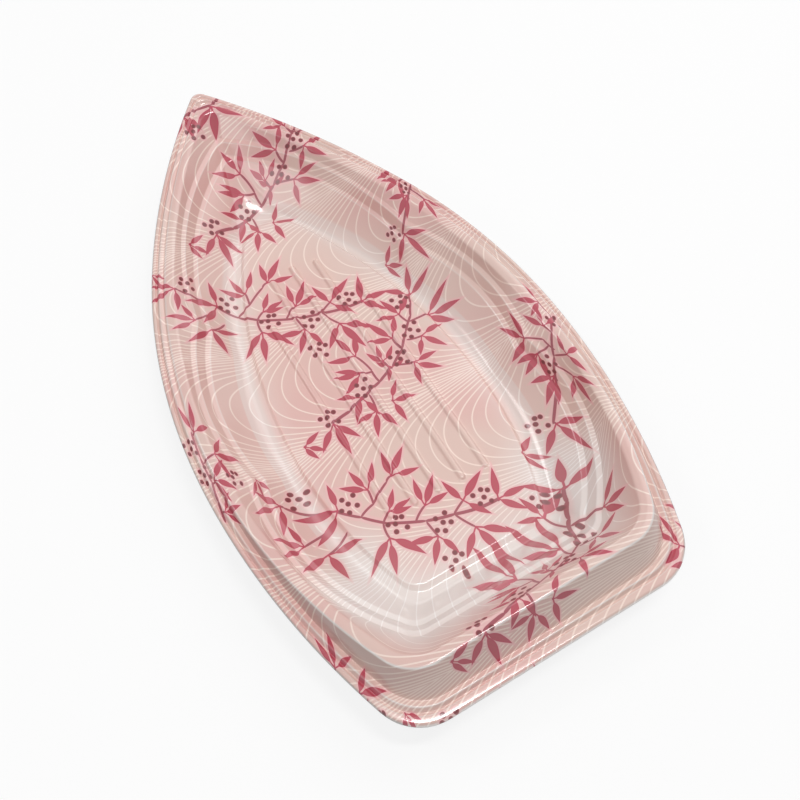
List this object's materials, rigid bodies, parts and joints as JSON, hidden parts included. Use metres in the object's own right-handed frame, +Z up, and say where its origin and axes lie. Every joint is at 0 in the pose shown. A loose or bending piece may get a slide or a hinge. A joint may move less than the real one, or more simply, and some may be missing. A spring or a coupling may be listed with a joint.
{
  "type": "boat-shaped serving plate",
  "caption": "Boat-shaped one-use serving plate with a pointed bow, flat stern, beaded flange, wavy stepped walls and a ribbed floor, for holding sushi or sashimi.",
  "frame": {"origin": "under the middle of the plate, on the surface that it stands on", "axes": "+X from the flat stern to the pointed bow, +Y to port, +Z up out of the well"},
  "size_m": [0.25, 0.138, 0.0293],
  "materials": {
    "printed_film": "glossy printed film",
    "base_sheet": "plain satin sheet"
  },
  "bodies": {
    "root": {"printed_film": "printed_film", "base_sheet": "base_sheet"}
  },
  "joints": []
}
